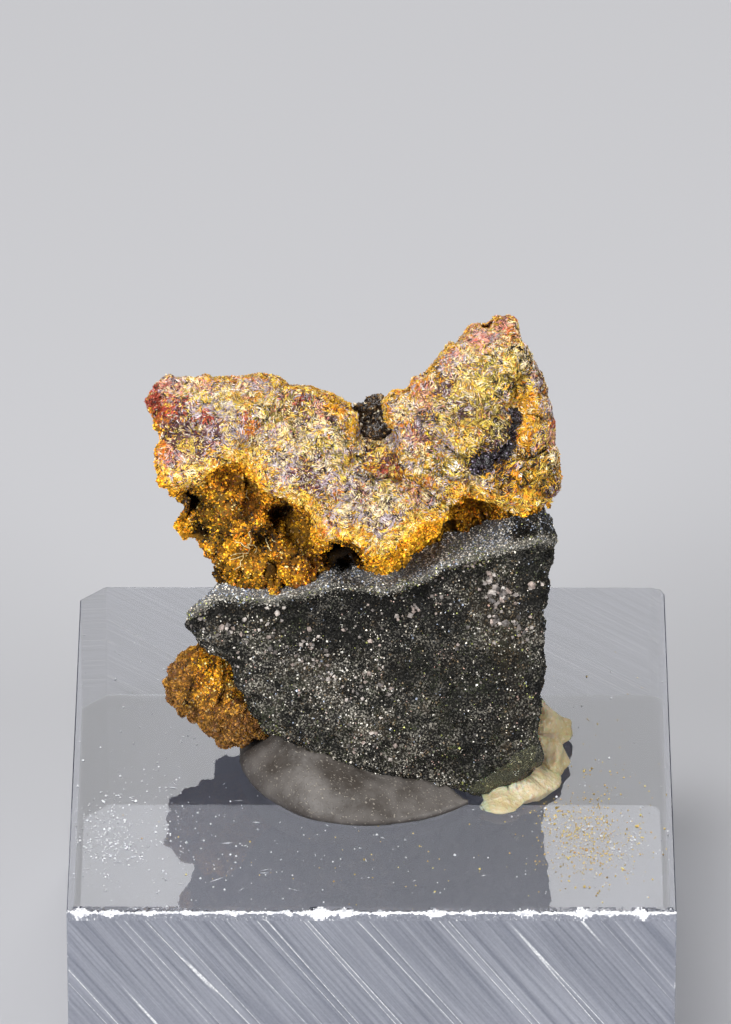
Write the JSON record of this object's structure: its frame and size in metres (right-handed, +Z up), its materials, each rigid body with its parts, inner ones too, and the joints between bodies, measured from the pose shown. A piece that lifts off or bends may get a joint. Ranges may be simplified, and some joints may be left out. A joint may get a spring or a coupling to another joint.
{
  "type": "tsumcorite mineral specimen on a clear block",
  "caption": "Jagged yellow-brown crystal crust on a dark sandy rock, stuck upright with putty and glue on a clear sawn acrylic block.",
  "frame": {"origin": "middle of the block's underside", "axes": "+Z up, -Y towards the front, which shows the broad face of the specimen, +X to its right"},
  "size_m": [0.03, 0.03, 0.0371],
  "materials": {
    "clear_acrylic": "clear, with frosted saw marks on its sides",
    "grey_putty": "smooth, dull, dust-speckled",
    "dried_glue": "cloudy, cream-yellow",
    "dark_rock": "sandy, dark grey-green with pale grains",
    "yellow_crust": "felted and drusy, silky",
    "ochre_nodule": "drusy, golden brown",
    "dark_crystals": "small, bright, nearly black crystals",
    "dark_seam": "compact, nearly black"
  },
  "bodies": {
    "root": {"acrylic_block": "clear_acrylic", "grey_putty": "grey_putty", "glue_dab": "dried_glue", "matrix_rock": "dark_rock", "tsumcorite_crust": "yellow_crust", "tsumcorite_nodule": "ochre_nodule", "dark_druse": "dark_crystals", "dark_vein": "dark_seam"}
  },
  "joints": []
}
